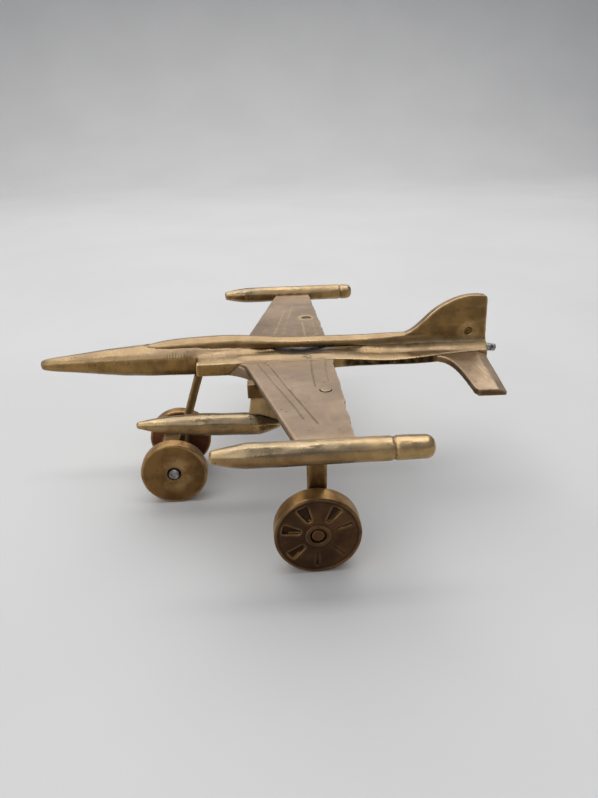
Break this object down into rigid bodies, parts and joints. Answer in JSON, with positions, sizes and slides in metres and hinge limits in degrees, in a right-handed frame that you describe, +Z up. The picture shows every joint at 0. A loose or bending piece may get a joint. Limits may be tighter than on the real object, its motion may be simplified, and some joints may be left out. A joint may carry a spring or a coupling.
{
  "type": "toy airplane",
  "caption": "Hand-made brass toy jet with wing-tip tanks, underwing stores, a swept fin and free-turning wheels on slender legs.",
  "frame": {"origin": "on the ground, at the middle of the toy's bounding box in plan", "axes": "+X from nose to tail, +Y to starboard, +Z up; the four wheels stand on z = 0"},
  "size_m": [0.1492, 0.1436, 0.0632],
  "materials": {
    "body_brass": "filed by hand, tarnished brown on the sides",
    "wing_brass": "rubbed satin plate with scribed lines",
    "turned_brass": "turned and filed, worn bright on top",
    "fitting_brass": "dull tarnished plate and bar",
    "wheel_brass": "dark brown tarnish with brighter rims",
    "steel": "cut rod ends, dull grey"
  },
  "bodies": {
    "airframe": {"fuselage": "body_brass", "spine_and_fin": "body_brass", "fin_pin": "fitting_brass", "tail_pin": "steel", "nose_leg": "fitting_brass", "nose_axle_block": "fitting_brass", "nose_axle": "steel", "wing_port": "wing_brass", "tip_tank_port": "turned_brass", "tailplane_port": "wing_brass", "pylon_lug_port": "fitting_brass", "pylon_port": "fitting_brass", "store_port": "turned_brass", "main_leg_port": "fitting_brass", "leg_rivet_port": "fitting_brass", "main_axle_port": "fitting_brass", "wing_starboard": "wing_brass", "tip_tank_starboard": "turned_brass", "tailplane_starboard": "wing_brass", "pylon_lug_starboard": "fitting_brass", "pylon_starboard": "fitting_brass", "store_starboard": "turned_brass", "main_leg_starboard": "fitting_brass", "leg_rivet_starboard": "fitting_brass", "main_axle_starboard": "fitting_brass"},
    "nose_wheel_port": {"nose_wheel_port": "wheel_brass"},
    "nose_wheel_starboard": {"nose_wheel_starboard": "wheel_brass"},
    "main_wheel_port": {"main_wheel_port": "wheel_brass"},
    "main_wheel_starboard": {"main_wheel_starboard": "wheel_brass"}
  },
  "joints": [
    {"name": "nose_wheel_port_spin", "type": "hinge", "parent": "airframe", "child": "nose_wheel_port", "pos_m": [-0.03435, -0.0124, 0.01085], "axis": [0, 1, 0], "continuous": true},
    {"name": "nose_wheel_starboard_spin", "type": "hinge", "parent": "airframe", "child": "nose_wheel_starboard", "pos_m": [-0.03435, 0.0124, 0.01085], "axis": [0, 1, 0], "continuous": true},
    {"name": "main_wheel_port_spin", "type": "hinge", "parent": "airframe", "child": "main_wheel_port", "pos_m": [0.0091, -0.0518, 0.0123], "axis": [0, 1, 0], "continuous": true},
    {"name": "main_wheel_starboard_spin", "type": "hinge", "parent": "airframe", "child": "main_wheel_starboard", "pos_m": [0.0091, 0.0518, 0.0123], "axis": [0, 1, 0], "continuous": true}
  ]
}
